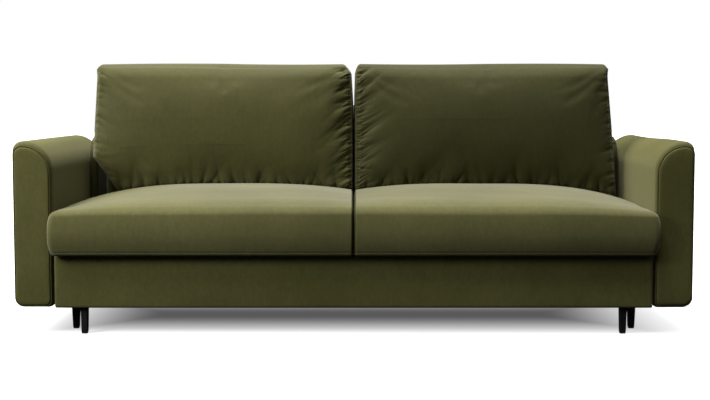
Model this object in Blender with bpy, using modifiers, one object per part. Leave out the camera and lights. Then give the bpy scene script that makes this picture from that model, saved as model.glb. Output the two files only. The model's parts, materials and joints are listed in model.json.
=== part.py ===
"""Three-seat upholstered sofa bed, in metres, front towards -Y, standing on z = 0.

Two solid arms carry a low fixed base. The seat rolls forward out of that base on two
telescopic rails, and the backrest is hinged on the rear of the seat, so that it lies
down level behind the seat as the seat comes out. Two loose cushions stand on the seat
and lean on the backrest.
"""

import math

import bmesh
import bpy
from mathutils import Vector

# Overall size
HALF_WIDTH = 1.195
FRONT = -0.450
REAR = 0.500
ARM_INNER = 1.057
ARM_TOP = 0.680
BASE_BOTTOM = 0.0945
GAP = 0.0003

# Seat carriage
SEAT_BOTTOM = 0.2803
SEAT_EDGE_HEIGHT = 0.437
SEAT_CROWN = 0.070
SEAT_SPLIT_DROP = 0.36
SEAT_REAR = 0.208
SEAT_NOSE = -0.505
SEAT_NOSE_HALF_WIDTH = 1.0645
SEAT_HALF_WIDTH = 1.0515
RAIL_INNER = 0.985
RAIL_OUTER = 1.0052

# Telescopic rails: distance from the middle of the sofa to the inner web
RAIL_LOW = 0.180
RAIL_HIGH = 0.225
RAIL_FRONT = -0.415
RAIL_BACK = 0.170
RAIL_SHEET = 0.0015

# Backrest, measured from its pivot and square to its own front face
PIVOT_Y = 0.350
PIVOT_Z = 0.325
LEAN = math.radians(4.0)
BACK_FACE = -0.130
BACK_BOARD = 0.020
BACK_REAR = 0.065
BACK_BOTTOM = -0.100
BACK_TOP = 0.475
BACK_HALF_WIDTH = 0.9995
PIN_RADIUS = 0.0080
PIN_HOLE_RADIUS = 0.0081

# Loose back cushions
CUSHION_INNER = 0.006
CUSHION_OUTER = 1.019
CUSHION_TOP = 0.968
CUSHION_THICKNESS = 0.200

GLIDE = 0.004

VELVET = (0.105, 0.098, 0.040)
PALETTE = {
    "velvet": (VELVET, 0.85, 0.0),
    "piping": ((0.060, 0.057, 0.026), 0.8, 0.0),
    "backing": ((0.030, 0.029, 0.024), 0.9, 0.0),
    "pine": ((0.560, 0.390, 0.210), 0.6, 0.0),
    "birch": ((0.640, 0.490, 0.300), 0.5, 0.0),
    "black_metal": ((0.010, 0.010, 0.011), 0.45, 0.6),
    "zinc": ((0.550, 0.560, 0.570), 0.35, 1.0),
    "felt": ((0.030, 0.030, 0.032), 0.95, 0.0),
}
SIDES = (("left", -1), ("right", 1))


def clear_scene():
    for item in list(bpy.data.objects):
        bpy.data.objects.remove(item, do_unlink=True)


def new_material(name, kind):
    colour, roughness, metallic = PALETTE[kind]
    material = bpy.data.materials.new(name)
    material.use_nodes = True
    shader = material.node_tree.nodes["Principled BSDF"]
    shader.inputs["Base Color"].default_value = (*colour, 1.0)
    shader.inputs["Roughness"].default_value = roughness
    shader.inputs["Metallic"].default_value = metallic
    return material


def add_empty(name, location, rotation=(0.0, 0.0, 0.0), parent=None):
    empty = bpy.data.objects.new(name, None)
    empty.location = location
    empty.rotation_euler = rotation
    empty.parent = parent
    COLLECTION.objects.link(empty)
    return empty


def add_object(name, kind, data, location, parent=None):
    item = bpy.data.objects.new(name, data)
    item.location = location
    item.parent = parent
    data.materials.append(new_material(name, kind))
    COLLECTION.objects.link(item)
    return item


def add_bevel(item, width, segments=2):
    bevel = item.modifiers.new("rounded_edges", "BEVEL")
    bevel.width = width
    bevel.segments = segments
    bevel.limit_method = "ANGLE"
    bevel.angle_limit = math.radians(40)


def add_box(name, kind, low, high, edge=0.0, parent=None):
    """A box between two corners, with rounded edges."""
    low = Vector(low)
    high = Vector(high)
    shape = bmesh.new()
    bmesh.ops.create_cube(shape, size=1.0)
    bmesh.ops.scale(shape, vec=high - low, verts=shape.verts)
    mesh = bpy.data.meshes.new(name)
    shape.to_mesh(mesh)
    shape.free()
    item = add_object(name, kind, mesh, (low + high) / 2, parent)
    if edge > 0.0:
        add_bevel(item, edge)
    return item


def mirrored_box(name, kind, side, inner, outer, y_range, z_range, edge=0.0, parent=None):
    """A box on one side of the sofa, between two distances from its middle."""
    low = (min(side * inner, side * outer), y_range[0], z_range[0])
    high = (max(side * inner, side * outer), y_range[1], z_range[1])
    return add_box(name, kind, low, high, edge, parent)


def rounded_outline(corners):
    """Points of a polygon whose corners are (u, v, radius, steps)."""
    points = []
    count = len(corners)
    for index, (u, v, radius, steps) in enumerate(corners):
        here = Vector((u, v))
        if radius <= 0.0:
            points.append((u, v))
            continue
        back = (Vector(corners[index - 1][:2]) - here).normalized()
        ahead = (Vector(corners[(index + 1) % count][:2]) - here).normalized()
        half_angle = back.angle(ahead) / 2
        middle = here + (back + ahead).normalized() * (radius / math.sin(half_angle))
        start = here + back * (radius / math.tan(half_angle)) - middle
        turn = math.copysign(math.pi - 2 * half_angle, ahead.cross(back))
        first = math.atan2(start.y, start.x)
        for step in range(steps + 1):
            angle = first + turn * step / steps
            spoke = Vector((math.cos(angle), math.sin(angle)))
            points.append(tuple(middle + spoke * radius))
    return points


def circle(u, v, radius, steps=32):
    turn = 2 * math.pi / steps
    return [
        (u + radius * math.cos(turn * step), v + radius * math.sin(turn * step))
        for step in range(steps)
    ]


def add_outline(name, kind, loops, axis, low, high, edge=0.0, parent=None):
    """A flat outline with any holes, extruded along X or Y between two positions."""
    curve = bpy.data.curves.new(name, "CURVE")
    curve.dimensions = "2D"
    curve.fill_mode = "BOTH"
    curve.extrude = (high - low) / 2
    for loop in loops:
        spline = curve.splines.new("POLY")
        spline.points.add(len(loop) - 1)
        for point, (u, v) in zip(spline.points, loop):
            point.co = (u, v, 0.0, 1.0)
        spline.use_cyclic_u = True
    middle = (low + high) / 2
    location = (middle, 0.0, 0.0) if axis == "X" else (0.0, middle, 0.0)
    item = add_object(name, kind, curve, location, parent)
    turn = math.radians(90)
    item.rotation_euler = (turn, 0.0, turn if axis == "X" else 0.0)
    weld = item.modifiers.new("closed_caps", "WELD")
    weld.merge_threshold = 0.00001
    if edge > 0.0:
        add_bevel(item, edge, 3)
    return item


def add_soft_block(name, kind, low, high, cuts, reshape, parent=None):
    """A padded block: a box cut into a coarse cage, pushed into shape and smoothed."""
    low = Vector(low)
    high = Vector(high)
    centre = (low + high) / 2
    shape = bmesh.new()
    bmesh.ops.create_cube(shape, size=1.0)
    bmesh.ops.scale(shape, vec=high - low, verts=shape.verts)
    bmesh.ops.translate(shape, vec=centre, verts=shape.verts)
    for axis, positions in enumerate(cuts):
        normal = Vector((0.0, 0.0, 0.0))
        normal[axis] = 1.0
        for position in positions:
            everything = [*shape.verts, *shape.edges, *shape.faces]
            bmesh.ops.bisect_plane(
                shape, geom=everything, plane_co=normal * position, plane_no=normal
            )
    for vertex in shape.verts:
        vertex.co = Vector(reshape(*vertex.co)) - centre
    mesh = bpy.data.meshes.new(name)
    shape.to_mesh(mesh)
    shape.free()
    mesh.shade_smooth()
    item = add_object(name, kind, mesh, centre, parent)
    smooth = item.modifiers.new("padding", "SUBSURF")
    smooth.levels = 1
    smooth.render_levels = 1
    return item


def add_loop_tube(name, kind, points, radius, parent=None):
    """A closed loop of round cord through points."""
    curve = bpy.data.curves.new(name, "CURVE")
    curve.dimensions = "3D"
    curve.bevel_depth = radius
    curve.bevel_resolution = 1
    spline = curve.splines.new("POLY")
    spline.points.add(len(points) - 1)
    for point, position in zip(spline.points, points):
        point.co = (*position, 1.0)
    spline.use_cyclic_u = True
    return add_object(name, kind, curve, (0.0, 0.0, 0.0), parent)


def arm_outline(side, inset=0.0, top_inset=0.0):
    """The arm's end view, inner top corner rolled over towards the seat."""
    inner = side * (ARM_INNER + inset)
    outer = side * (HALF_WIDTH - inset)
    top = ARM_TOP - top_inset
    bottom = BASE_BOTTOM + inset
    return rounded_outline(
        [
            (inner, bottom, 0.016, 2),
            (outer, bottom, 0.036 - inset, 5),
            (outer, top, 0.034 - inset, 5),
            (inner, top, 0.102 - inset, 10),
        ]
    )


def build_arms():
    for name, side in SIDES:
        add_outline(
            f"arm_{name}_body", "velvet", [arm_outline(side)], "Y",
            FRONT + 0.0105, REAR - 0.0105, 0.010,
        )
        face = [arm_outline(side, 0.009, 0.020)]
        add_outline(
            f"arm_{name}_front_panel", "velvet", face, "Y", FRONT, FRONT + 0.0102, 0.003
        )
        add_outline(
            f"arm_{name}_rear_panel", "velvet", face, "Y", REAR - 0.0102, REAR, 0.003
        )
        cord = arm_outline(side, 0.0062, 0.0172)
        add_loop_tube(
            f"arm_{name}_front_welt", "piping",
            [(u, FRONT + 0.0072, v) for u, v in cord], 0.0024,
        )


def build_rear_corners():
    """Short rolled ends of the fixed back frame, in the corner of each arm."""
    outline = rounded_outline(
        [
            (0.2215, 0.2760, 0.0, 1),
            (0.4600, 0.2760, 0.0, 1),
            (0.4600, ARM_TOP - 0.001, 0.030, 4),
            (0.2215, ARM_TOP - 0.001, 0.100, 10),
        ]
    )
    for name, side in SIDES:
        ends = sorted((side * 1.0225, side * (ARM_INNER - GAP)))
        add_outline(f"rear_corner_{name}", "velvet", [outline], "X", *ends)


def build_base():
    for name, side in SIDES:
        mirrored_box(
            f"side_board_{name}", "pine", side, 1.0288, 1.0545,
            (-0.425, 0.459), (0.130, 0.2755), 0.002,
        )
    width = 1.0545
    for name, y_low in (("front", -0.335), ("middle", 0.050), ("rear", 0.390)):
        add_box(
            f"base_rail_{name}", "pine",
            (-width, y_low, BASE_BOTTOM), (width, y_low + 0.060, 0.1297), 0.002,
        )
    add_box(
        "base_board", "backing",
        (-1.0285, -0.335, 0.1300), (1.0285, 0.459, 0.1350),
    )
    add_box(
        "rear_panel", "velvet",
        (-1.0565, 0.4605, BASE_BOTTOM), (1.0565, REAR, 0.420), 0.008,
    )


def add_leg(name, x, y, top, parent=None):
    """A flat black metal leg, narrower at the floor, on a felt glide."""
    size = Vector((0.027, 0.034, top - GLIDE - GAP))
    shape = bmesh.new()
    bmesh.ops.create_cube(shape, size=1.0)
    bmesh.ops.scale(shape, vec=size, verts=shape.verts)
    for vertex in shape.verts:
        if vertex.co.z < 0.0:
            vertex.co.x *= 0.78
            vertex.co.y *= 0.78
    mesh = bpy.data.meshes.new(name)
    shape.to_mesh(mesh)
    shape.free()
    centre = (x, y, GLIDE + GAP + size.z / 2)
    leg = add_object(name, "black_metal", mesh, centre, parent)
    add_bevel(leg, 0.0025)
    add_box(
        f"{name}_glide", "felt",
        (x - 0.009, y - 0.012, 0.0), (x + 0.009, y + 0.012, GLIDE), 0.0, parent,
    )


def build_base_legs():
    for name, side in SIDES:
        add_leg(f"base_leg_front_{name}", side * 1.005, -0.305, BASE_BOTTOM - GAP)
        add_leg(f"base_leg_rear_{name}", side * 1.005, 0.420, BASE_BOTTOM - GAP)


def channel_outline(web, mouth, low, high):
    """A C section of thin sheet: its web at one distance from the middle, open at the other."""
    sheet = math.copysign(RAIL_SHEET, mouth - web)
    return [
        (web, low),
        (mouth, low),
        (mouth, low + RAIL_SHEET),
        (web + sheet, low + RAIL_SHEET),
        (web + sheet, high - RAIL_SHEET),
        (mouth, high - RAIL_SHEET),
        (mouth, high),
        (web, high),
    ]


def build_rails(carriage):
    """Each telescopic rail is three C sections, one inside the next."""
    for name, side in SIDES:
        outer = channel_outline(side * 1.0285, side * 1.0150, RAIL_LOW, RAIL_HIGH)
        middle = channel_outline(
            side * 1.0250, side * 1.0135, RAIL_LOW + 0.0025, RAIL_HIGH - 0.0025
        )
        inner = channel_outline(
            side * 1.0108, side * 1.0212, RAIL_LOW + 0.0050, RAIL_HIGH - 0.0050
        )
        add_outline(
            f"rail_outer_{name}", "zinc", [outer], "Y", RAIL_FRONT, RAIL_BACK
        )
        slider = add_empty(f"rail_middle_{name}_slide", (0.0, 0.0, 0.0))
        add_outline(
            f"rail_middle_{name}", "zinc", [middle], "Y", RAIL_FRONT, RAIL_BACK, 0.0, slider
        )
        add_outline(
            f"rail_inner_{name}", "zinc", [inner], "Y", RAIL_FRONT, RAIL_BACK, 0.0, carriage
        )


def build_carriage_frame(carriage):
    add_box(
        "front_panel", "velvet",
        (-1.051, FRONT, BASE_BOTTOM), (1.051, -0.4320, 0.2795), 0.005, carriage,
    )
    beam = RAIL_INNER - GAP
    add_box(
        "seat_beam_front", "pine",
        (-beam, -0.4317, 0.1400), (beam, -0.3970, 0.2675), 0.002, carriage,
    )
    add_box(
        "seat_beam_rear", "pine",
        (-beam, 0.1650, 0.1700), (beam, 0.2000, 0.2675), 0.002, carriage,
    )
    for name, side in SIDES:
        mirrored_box(
            f"seat_rail_{name}", "pine", side, RAIL_INNER, RAIL_OUTER,
            (-0.4317, 0.2000), (0.1400, 0.2800), 0.002, carriage,
        )
    for index in range(6):
        x = -0.85 + index * 0.34
        add_box(
            f"seat_slat_{index + 1}", "birch",
            (x - 0.040, -0.4300, 0.2678), (x + 0.040, 0.1990, 0.2798), 0.003, carriage,
        )
    for name, side in SIDES:
        add_leg(f"seat_leg_{name}", side * 0.952, -0.4150, 0.1397, carriage)


def seat_height(x, y):
    """Height of a seat cushion's padded top, crowned towards the cushion's middle."""
    middle = SEAT_HALF_WIDTH / 2
    across = (abs(x) - middle) / middle
    level = 1.0 - (across**2.6 if across > 0 else SEAT_SPLIT_DROP * abs(across) ** 3.4)
    along = (y - SEAT_NOSE) / (SEAT_REAR - SEAT_NOSE)
    rise = min(along / 0.42, 1.0)
    fall = min((1.0 - along) / 0.30, 1.0)
    swell = math.sin(rise * math.pi / 2) * (0.45 + 0.55 * fall)
    return SEAT_EDGE_HEIGHT + SEAT_CROWN * swell * level


def seat_shape(x, y, z):
    """Crowned top, rounded nose, and a nose that is wider than the space between the arms."""
    share = (z - SEAT_BOTTOM) / (SEAT_EDGE_HEIGHT - SEAT_BOTTOM)
    height = SEAT_BOTTOM + share * (seat_height(x, y) - SEAT_BOTTOM)
    if y < SEAT_NOSE + 0.001:
        y += 0.026 * (2 * share - 0.9) ** 2
    if abs(x) > SEAT_HALF_WIDTH - 0.001 and y < -0.470:
        x = math.copysign(SEAT_NOSE_HALF_WIDTH, x)
    return (x, y, height)


def build_seat_cushions(carriage):
    y_cuts = (-0.478, -0.4610, -0.420, -0.300, -0.120, 0.030, 0.160)
    z_cuts = (0.300, 0.360, 0.415)
    for name, side in SIDES:
        ends = sorted((side * 0.0016, side * SEAT_HALF_WIDTH))
        x_cuts = [side * x for x in (0.030, 0.180, 0.400, 0.650, 0.870, 1.020)]
        add_soft_block(
            f"seat_cushion_{name}", "velvet",
            (ends[0], SEAT_NOSE, SEAT_BOTTOM), (ends[1], SEAT_REAR, SEAT_EDGE_HEIGHT),
            (x_cuts, y_cuts, z_cuts), seat_shape, carriage,
        )


def build_hinge_plates(carriage):
    """Steel arms behind the seat that carry the backrest's pivot."""
    outline = rounded_outline(
        [
            (0.040, 0.232, 0.0, 1),
            (0.250, 0.232, 0.020, 3),
            (0.392, 0.283, 0.035, 6),
            (0.392, 0.360, 0.035, 6),
            (0.316, 0.360, 0.035, 6),
            (0.290, 0.2790, 0.020, 3),
            (0.040, 0.2790, 0.0, 1),
        ]
    )
    hole = circle(PIVOT_Y, PIVOT_Z, PIN_HOLE_RADIUS)
    for name, side in SIDES:
        ends = sorted((side * (RAIL_OUTER + GAP), side * 1.0105))
        add_outline(
            f"hinge_plate_{name}", "black_metal", [outline, hole], "X", *ends, 0.0, carriage
        )


def back_shape(x, y, z):
    """Rounded lower front edge, so that the backrest turns clear of the seat."""
    if y < BACK_FACE + 0.001:
        if z < BACK_BOTTOM + 0.001:
            return (x, y + 0.050, z + 0.050)
        if z > BACK_TOP - 0.001:
            return (x, y + 0.030, z - 0.020)
    return (x, y, z)


def build_backrest(pivot):
    width = BACK_HALF_WIDTH
    add_soft_block(
        "backrest_pad", "velvet",
        (-width, BACK_FACE, BACK_BOTTOM), (width, BACK_BOARD, BACK_TOP),
        (
            (-0.960, -0.500, 0.0, 0.500, 0.960),
            (-0.085, -0.040),
            (-0.055, 0.020, 0.180, 0.340, 0.430),
        ),
        back_shape, pivot,
    )
    add_box(
        "backrest_board", "velvet",
        (-width, BACK_BOARD + GAP, BACK_BOTTOM + 0.015),
        (width, BACK_REAR, BACK_TOP - 0.005), 0.006, pivot,
    )
    strap = rounded_outline(
        [
            (-0.020, -0.022, 0.018, 4),
            (0.058, -0.022, 0.008, 3),
            (0.058, 0.300, 0.008, 3),
            (0.028, 0.300, 0.008, 3),
            (0.024, 0.060, 0.0, 1),
            (-0.020, 0.022, 0.018, 4),
        ]
    )
    for name, side in SIDES:
        ends = sorted((side * (width + GAP), side * 1.0040))
        add_outline(
            f"backrest_bracket_{name}", "black_metal", [strap], "X", *ends, 0.0, pivot
        )
        add_pivot_pin(f"pivot_pin_{name}", side, 1.0043, 1.0110, 1.0140, pivot)


def add_pivot_pin(name, side, start, neck, end, parent):
    """A headed pin along X, turned about its own axis."""
    profile = [
        (0.0, end),
        (0.0130, end),
        (0.0130, neck),
        (PIN_RADIUS, neck),
        (PIN_RADIUS, start),
        (0.0, start),
    ]
    shape = bmesh.new()
    corners = [shape.verts.new((radius, 0.0, height - start)) for radius, height in profile]
    for first, second in zip(corners, corners[1:]):
        shape.edges.new((first, second))
    mesh = bpy.data.meshes.new(name)
    shape.to_mesh(mesh)
    shape.free()
    pin = add_object(name, "zinc", mesh, (side * start, 0.0, 0.0), parent)
    pin.rotation_euler = (0.0, side * math.radians(90), 0.0)
    screw = pin.modifiers.new("turned", "SCREW")
    screw.steps = 32
    screw.render_steps = 32
    screw.use_merge_vertices = True
    screw.merge_threshold = 0.00001


def cushion_shape(x, y, z):
    """A loose cushion that leans back and whose bottom follows the seat's crown."""
    bottom = seat_height(x, 0.05) + 0.0075
    share = (z - SEAT_EDGE_HEIGHT) / (CUSHION_TOP - SEAT_EDGE_HEIGHT)
    height = bottom + share * (CUSHION_TOP - bottom)
    middle = (CUSHION_INNER + CUSHION_OUTER) / 2
    across = abs(abs(x) - middle) / (CUSHION_OUTER - middle)
    front = y < -CUSHION_THICKNESS / 2
    if front and share > 0.99:
        y += 0.030
    if front and share < 0.01:
        y += 0.022
    if across > 0.99 and share < 0.01:
        height += 0.020
    face = PIVOT_Y + BACK_FACE / math.cos(LEAN) - 0.004
    return (x, y + face + (height - PIVOT_Z) * math.tan(LEAN), height)


def build_back_cushions(carriage):
    for name, side in SIDES:
        lift = add_empty(f"back_cushion_{name}_lift", (0.0, 0.0, 0.0), parent=carriage)
        ends = sorted((side * CUSHION_INNER, side * CUSHION_OUTER))
        x_cuts = [side * x for x in (0.045, 0.200, 0.400, 0.625, 0.830, 0.980)]
        add_soft_block(
            f"back_cushion_{name}", "velvet",
            (ends[0], -CUSHION_THICKNESS, SEAT_EDGE_HEIGHT), (ends[1], 0.0, CUSHION_TOP),
            (x_cuts, (-0.160, -0.040), (0.475, 0.600, 0.800, 0.930)),
            cushion_shape, lift,
        )


clear_scene()
COLLECTION = bpy.data.collections.new("sofa_bed")
bpy.context.scene.collection.children.link(COLLECTION)
build_arms()
build_rear_corners()
build_base()
build_base_legs()
CARRIAGE = add_empty("seat_carriage", (0.0, 0.0, 0.0))
build_carriage_frame(CARRIAGE)
build_rails(CARRIAGE)
build_seat_cushions(CARRIAGE)
build_hinge_plates(CARRIAGE)
PIVOT = add_empty("backrest_pivot", (0.0, PIVOT_Y, PIVOT_Z), (-LEAN, 0.0, 0.0), CARRIAGE)
build_backrest(PIVOT)
build_back_cushions(CARRIAGE)
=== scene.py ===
"""Looks of the olive velvet sofa bed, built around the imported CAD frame."""
import json
import math

import bpy
import numpy as np
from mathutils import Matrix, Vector


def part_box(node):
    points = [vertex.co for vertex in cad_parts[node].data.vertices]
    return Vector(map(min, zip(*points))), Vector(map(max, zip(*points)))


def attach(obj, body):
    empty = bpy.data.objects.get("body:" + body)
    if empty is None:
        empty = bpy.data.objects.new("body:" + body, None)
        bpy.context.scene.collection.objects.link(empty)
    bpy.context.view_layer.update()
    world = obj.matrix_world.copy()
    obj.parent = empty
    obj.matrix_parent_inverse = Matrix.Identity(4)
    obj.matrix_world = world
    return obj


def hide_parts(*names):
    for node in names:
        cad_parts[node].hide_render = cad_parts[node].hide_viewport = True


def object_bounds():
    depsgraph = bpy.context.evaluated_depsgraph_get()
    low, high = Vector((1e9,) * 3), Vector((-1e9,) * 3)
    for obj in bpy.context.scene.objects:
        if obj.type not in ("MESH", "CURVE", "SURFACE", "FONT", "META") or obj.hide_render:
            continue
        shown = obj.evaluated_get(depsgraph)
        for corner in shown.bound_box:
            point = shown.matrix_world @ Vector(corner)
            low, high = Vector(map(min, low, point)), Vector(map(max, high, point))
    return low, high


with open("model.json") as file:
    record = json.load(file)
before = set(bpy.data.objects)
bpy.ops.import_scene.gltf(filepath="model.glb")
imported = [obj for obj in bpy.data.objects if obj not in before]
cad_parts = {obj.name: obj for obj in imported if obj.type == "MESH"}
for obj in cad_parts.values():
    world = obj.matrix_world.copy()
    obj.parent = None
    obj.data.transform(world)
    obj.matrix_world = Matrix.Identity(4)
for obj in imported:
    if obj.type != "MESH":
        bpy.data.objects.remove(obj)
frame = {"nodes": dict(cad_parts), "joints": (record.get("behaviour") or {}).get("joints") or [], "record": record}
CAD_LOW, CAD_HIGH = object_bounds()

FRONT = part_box("arm_left_front_panel")[0].y
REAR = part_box("arm_left_rear_panel")[1].y
SIDES = (("left", -1.0), ("right", 1.0))
FOLD = [j for j in frame["joints"] if j["name"] == "backrest_fold"][0]
PIVOT_Y, PIVOT_Z = FOLD["pos_m"][1:]
LEAN = math.radians(4.0)         # the backrest leans this far behind upright
BACK_LEAN = math.tan(LEAN)
BACK_FOOT = 0.2155               # Y of the back cushions' rear at the pivot's height
BACK_DEPTH = 0.137               # thickness of a back cushion at its side seams
SEAT_EDGE = 0.437                # height of the seat cushions' top at the arm
SEAT_CROWN = 0.070               # how far the seat rises above that
SEAT_HALF_WIDTH = 1.0515
ARM_EDGE = 0.020                 # rounding between an arm's length and its ends


# ---------------------------------------------------------------- node helpers
class Nodes:
    """Short names for adding and linking shader nodes."""

    def __init__(self, name):
        self.material = bpy.data.materials.new(name)
        self.material.use_nodes = True
        self.tree = self.material.node_tree
        self.shader = self.tree.nodes["Principled BSDF"]

    def add(self, kind, settings=None, **inputs):
        node = self.tree.nodes.new("ShaderNode" + kind)
        for key, value in (settings or {}).items():
            setattr(node, key, value)
        for key, value in inputs.items():
            socket = node.inputs[key.replace("_", " ")]
            if isinstance(value, bpy.types.NodeSocket):
                self.tree.links.new(value, socket)
            else:
                socket.default_value = value
        return node

    def math(self, operation, first, second=0.0):
        node = self.tree.nodes.new("ShaderNodeMath")
        node.operation = operation
        for socket, value in zip(node.inputs, (first, second)):
            if isinstance(value, bpy.types.NodeSocket):
                self.tree.links.new(value, socket)
            else:
                socket.default_value = value
        return node.outputs[0]

    def ramp(self, factor, *stops):
        node = self.tree.nodes.new("ShaderNodeValToRGB")
        elements = node.color_ramp.elements
        while len(elements) < len(stops):
            elements.new(0.5)
        for element, (position, colour) in zip(elements, stops):
            element.position = position
            element.color = (*colour, 1.0)
        self.tree.links.new(factor, node.inputs[0])
        return node.outputs[0]

    def mix(self, factor, first, second, blend="MIX"):
        node = self.tree.nodes.new("ShaderNodeMix")
        node.data_type = "RGBA"
        node.blend_type = blend
        for index, value in ((0, factor), (6, first), (7, second)):
            socket = node.inputs[index]
            if isinstance(value, bpy.types.NodeSocket):
                self.tree.links.new(value, socket)
            elif index == 0:
                socket.default_value = value
            else:
                socket.default_value = (*value, 1.0)
        return node.outputs[2]

    def coordinates(self, scale=(1.0, 1.0, 1.0)):
        place = self.add("TexCoord")
        mapping = self.add("Mapping", Vector=place.outputs["Object"])
        mapping.inputs["Scale"].default_value = scale
        return mapping.outputs[0]

    def noise(self, vector, scale, detail=3.0, roughness=0.5):
        node = self.add(
            "TexNoise", Vector=vector, Scale=scale, Detail=detail, Roughness=roughness
        )
        return node.outputs["Fac"]

    def link(self, output, name):
        self.tree.links.new(output, self.shader.inputs[name])

    def bump(self, height, strength, distance, normal=None):
        node = self.add("Bump", Height=height, Strength=strength, Distance=distance)
        if normal is not None:
            self.tree.links.new(normal, node.inputs["Normal"])
        return node.outputs[0]


def velvet(name, light=1.0, sheen=0.30, tint=(0.96, 0.93, 0.70)):
    """Short olive pile: brushed patches, fine nap streaks, fibre grain and a pale sheen."""
    n = Nodes(name)
    plain = n.coordinates()
    streaks = n.coordinates((3.0, 3.0, 1.0))
    patches = n.noise(plain, 2.6, 5.0, 0.6)
    nap = n.noise(streaks, 24.0, 5.0, 0.62)
    grain = n.noise(plain, 620.0, 2.0, 0.6)
    weave = n.noise(plain, 1500.0, 1.0, 0.5)
    # light scales the whole colour: the darker copies of this one olive velvet are painted shade for parts that
    # get less light
    dark = tuple(c * light for c in (0.086, 0.083, 0.0230))
    middle = tuple(c * light for c in (0.104, 0.100, 0.0290))
    pale = tuple(c * light for c in (0.124, 0.119, 0.0370))
    brushed = n.ramp(patches, (0.30, dark), (0.52, middle), (0.74, pale))
    streaked = n.ramp(nap, (0.30, (0.88, 0.88, 0.87)), (0.70, (1.08, 1.08, 1.07)))
    speckle = n.ramp(grain, (0.25, (0.80, 0.80, 0.78)), (0.75, (1.16, 1.16, 1.14)))
    colour = n.mix(0.60, brushed, streaked, "MULTIPLY")
    colour = n.mix(0.60, colour, speckle, "MULTIPLY")
    rough = n.ramp(patches, (0.2, (0.62,) * 3), (0.8, (0.82,) * 3))
    n.link(rough, "Roughness")
    mottle = n.noise(n.coordinates((1.0, 1.0, 0.55)), 95.0, 4.0, 0.65)
    mottled = n.ramp(mottle, (0.32, (0.84, 0.84, 0.83)), (0.70, (1.15,) * 3))
    colour = n.mix(0.55, colour, mottled, "MULTIPLY")
    n.link(colour, "Base Color")
    fibre = n.bump(mottle, 0.16, 0.0012)
    fibre = n.bump(grain, 0.30, 0.0005, fibre)
    fibre = n.bump(weave, 0.25, 0.0003, fibre)
    fibre = n.bump(nap, 0.10, 0.0015, fibre)
    n.link(fibre, "Normal")
    n.shader.inputs["Specular IOR Level"].default_value = 0.10
    n.shader.inputs["Sheen Weight"].default_value = sheen
    n.shader.inputs["Sheen Roughness"].default_value = 0.50
    n.shader.inputs["Sheen Tint"].default_value = (*tint, 1.0)
    return n.material


def wood(name, light, dark):
    """Planed board with long grain along Y and a few darker rings."""
    n = Nodes(name)
    place = n.coordinates((18.0, 1.2, 18.0))
    rings = n.noise(place, 2.2, 6.0, 0.62)
    fine = n.noise(n.coordinates((160.0, 6.0, 160.0)), 3.0, 3.0, 0.6)
    colour = n.ramp(rings, (0.30, dark), (0.50, light), (0.62, light), (0.72, dark))
    pores = n.ramp(fine, (0.30, (0.72, 0.68, 0.62)), (0.60, (1.0, 1.0, 1.0)))
    n.link(n.mix(0.6, colour, pores, "MULTIPLY"), "Base Color")
    n.link(n.ramp(fine, (0.2, (0.72,) * 3), (0.8, (0.48,) * 3)), "Roughness")
    n.link(n.bump(fine, 0.3, 0.0004), "Normal")
    return n.material


def metal(name, colour, metallic, rough):
    """Metal with fine scratches and slight uneven finish."""
    n = Nodes(name)
    place = n.coordinates((1.0, 0.08, 1.0))
    scratch = n.noise(place, 300.0, 3.0, 0.6)
    cloud = n.noise(n.coordinates(), 22.0, 3.0, 0.5)
    darker = tuple(c * 0.72 for c in colour)
    n.link(n.ramp(cloud, (0.35, darker), (0.65, colour)), "Base Color")
    low = (max(rough - 0.12, 0.05),) * 3
    high = (min(rough + 0.14, 1.0),) * 3
    n.link(n.ramp(scratch, (0.3, low), (0.7, high)), "Roughness")
    n.link(n.bump(scratch, 0.15, 0.0002), "Normal")
    n.shader.inputs["Metallic"].default_value = metallic
    return n.material


def fibre_board(name, light, dark):
    """Pressed fibre: felt pads and the dark hardboard floor of the base."""
    n = Nodes(name)
    fluff = n.noise(n.coordinates(), 420.0, 4.0, 0.7)
    cloud = n.noise(n.coordinates(), 9.0, 3.0, 0.5)
    colour = n.ramp(fluff, (0.3, dark), (0.7, light))
    tone = n.ramp(cloud, (0.3, (0.85,) * 3), (0.7, (1.1,) * 3))
    n.link(n.mix(0.7, colour, tone, "MULTIPLY"), "Base Color")
    n.link(n.ramp(fluff, (0.2, (0.98,) * 3), (0.8, (0.84,) * 3)), "Roughness")
    n.link(n.bump(fluff, 0.5, 0.0008), "Normal")
    return n.material


def piping_cloth(name):
    """Velvet pulled tight over cord, with the cord's twist showing through."""
    n = Nodes(name)
    twist = n.add("TexWave", {"bands_direction": "DIAGONAL"}, Vector=n.coordinates())
    twist.inputs["Scale"].default_value = 60.0
    twist.inputs["Distortion"].default_value = 1.5
    grain = n.noise(n.coordinates(), 800.0, 2.0, 0.6)
    tone = n.ramp(grain, (0.3, (0.042, 0.040, 0.013)), (0.7, (0.075, 0.072, 0.024)))
    n.link(tone, "Base Color")
    n.link(n.ramp(grain, (0.2, (0.9,) * 3), (0.8, (0.7,) * 3)), "Roughness")
    n.link(n.bump(twist.outputs["Fac"], 0.3, 0.0004), "Normal")
    n.shader.inputs["Specular IOR Level"].default_value = 0.10
    n.shader.inputs["Sheen Weight"].default_value = 0.06
    n.shader.inputs["Sheen Roughness"].default_value = 0.5
    return n.material


def thread(name):
    """Pale olive sewing thread with a fine twist."""
    n = Nodes(name)
    twist = n.add("TexWave", {"bands_direction": "DIAGONAL"}, Vector=n.coordinates())
    twist.inputs["Scale"].default_value = 400.0
    tone = n.ramp(twist.outputs["Fac"], (0.2, (0.115, 0.108, 0.034)), (0.8, (0.170, 0.160, 0.052)))
    n.link(tone, "Base Color")
    n.link(n.bump(twist.outputs["Fac"], 0.4, 0.0002), "Normal")
    n.shader.inputs["Roughness"].default_value = 0.55
    return n.material


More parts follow.
